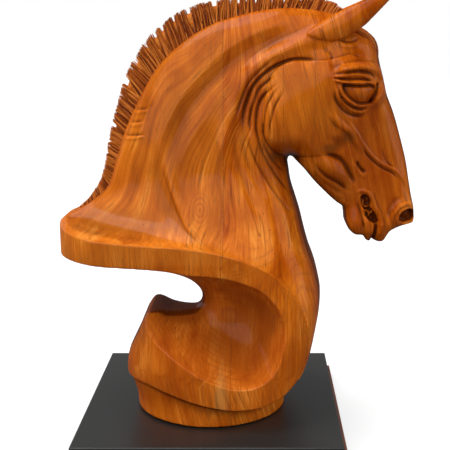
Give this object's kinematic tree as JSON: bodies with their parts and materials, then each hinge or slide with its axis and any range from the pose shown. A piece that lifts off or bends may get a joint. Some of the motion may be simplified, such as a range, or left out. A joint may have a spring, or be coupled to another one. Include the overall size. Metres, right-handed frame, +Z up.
{
  "type": "carved wooden horse head sculpture on a plinth",
  "caption": "Polished hardwood horse head with an upright roached mane, its neck flaring into a scooped, curling base on a square black plinth.",
  "frame": {"origin": "middle of the plinth's underside", "axes": "+Z up, +X the way the horse looks, -Y the side that the picture shows"},
  "size_m": [0.3973, 0.301, 0.4992],
  "materials": {
    "polished_hardwood": "warm brown hardwood, oiled and satin varnished",
    "black_painted_wood": "black satin paint",
    "red_brown_wood": "red brown stain"
  },
  "bodies": {
    "root": {"horse_carving": "polished_hardwood", "plinth_slab": "black_painted_wood", "plinth_underboard": "red_brown_wood"}
  },
  "joints": []
}
